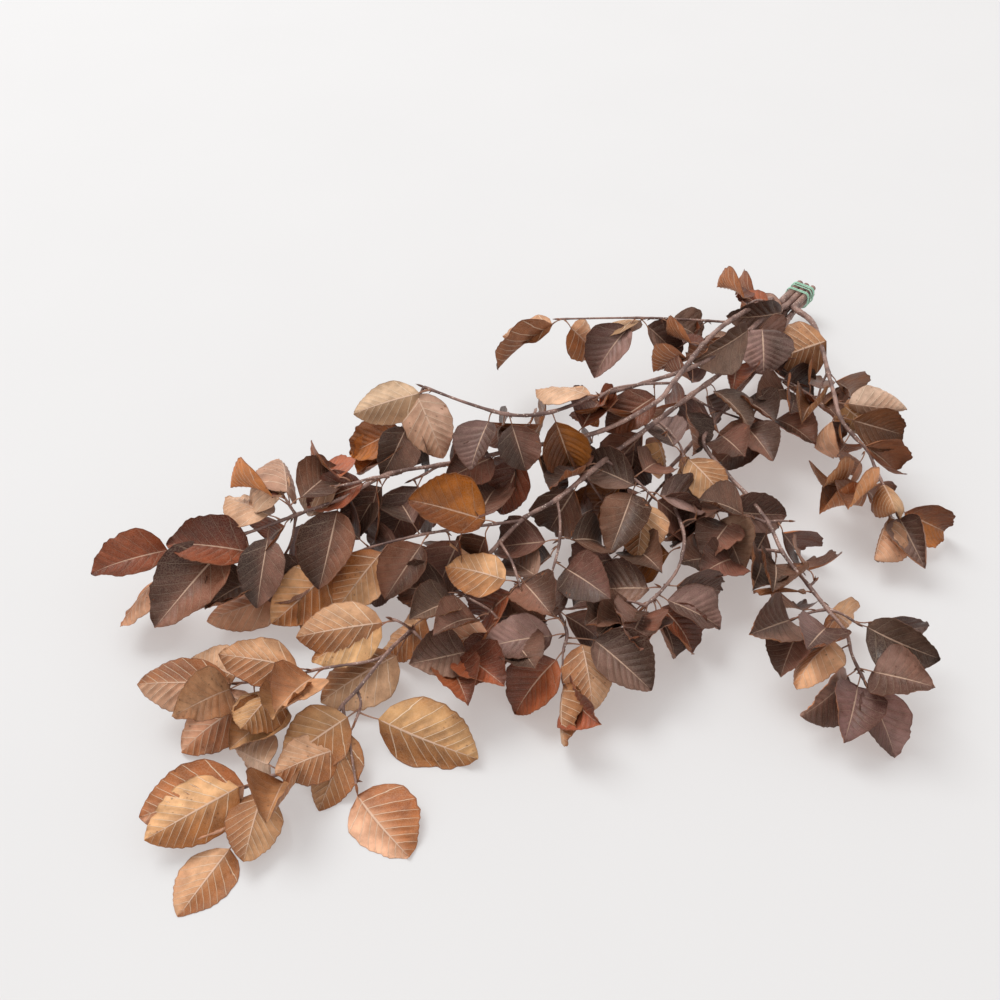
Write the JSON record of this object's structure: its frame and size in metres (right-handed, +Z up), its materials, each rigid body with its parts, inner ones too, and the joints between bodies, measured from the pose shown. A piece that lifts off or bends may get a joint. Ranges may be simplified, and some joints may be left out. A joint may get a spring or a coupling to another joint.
{
  "type": "beech branch bunch",
  "caption": "Cut beech branches with dried brown and tan leaves, tied with green string near their butts and fanned out flat on a surface",
  "frame": {"origin": "on the surface that the bunch lies on, under the middle of its bounding box", "axes": "+X along the bunch from the leafy tips to the cut butts, +Y across it, +Z up"},
  "size_m": [0.751, 0.4888, 0.1224],
  "materials": {
    "beech_leaves": "dried leaf, slightly waxy",
    "beech_bark": "smooth young bark",
    "green_string": "soft twisted string"
  },
  "bodies": {
    "root": {"branch_back": "beech_leaves", "branch_upper": "beech_leaves", "branch_main": "beech_leaves", "branch_right": "beech_leaves", "branch_edge": "beech_leaves", "branch_middle": "beech_leaves", "tie_string": "green_string"}
  },
  "joints": []
}
